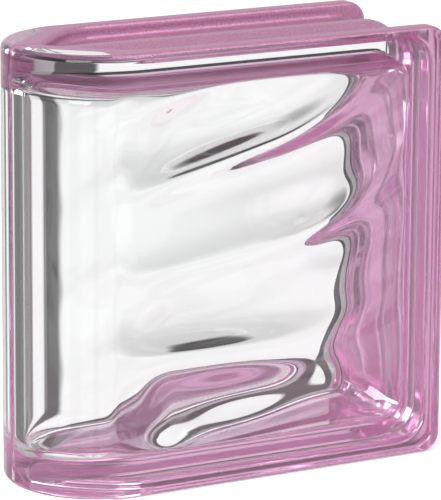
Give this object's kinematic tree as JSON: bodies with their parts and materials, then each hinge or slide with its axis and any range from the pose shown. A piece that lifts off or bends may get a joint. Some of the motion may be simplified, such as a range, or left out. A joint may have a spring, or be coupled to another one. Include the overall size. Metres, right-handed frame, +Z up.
{
  "type": "glass block",
  "caption": "Hollow pressed-glass building block with wavy faces, one half-round finished end and a coated mortar channel round its other edges.",
  "frame": {"origin": "middle of the base, on the plane that the base rims stand on", "axes": "+X along the wall, away from the half-round end; +Y through the wall, from the front face to the back face; +Z up"},
  "size_m": [0.1899, 0.08, 0.19],
  "materials": {
    "front_glass": "clear pressed glass, satin pink-mauve coating on the edges that meet mortar",
    "back_glass": "clear pressed glass, satin pink-mauve coating on the edges that meet mortar"
  },
  "bodies": {
    "root": {"front_shell": "front_glass", "back_shell": "back_glass"}
  },
  "joints": []
}
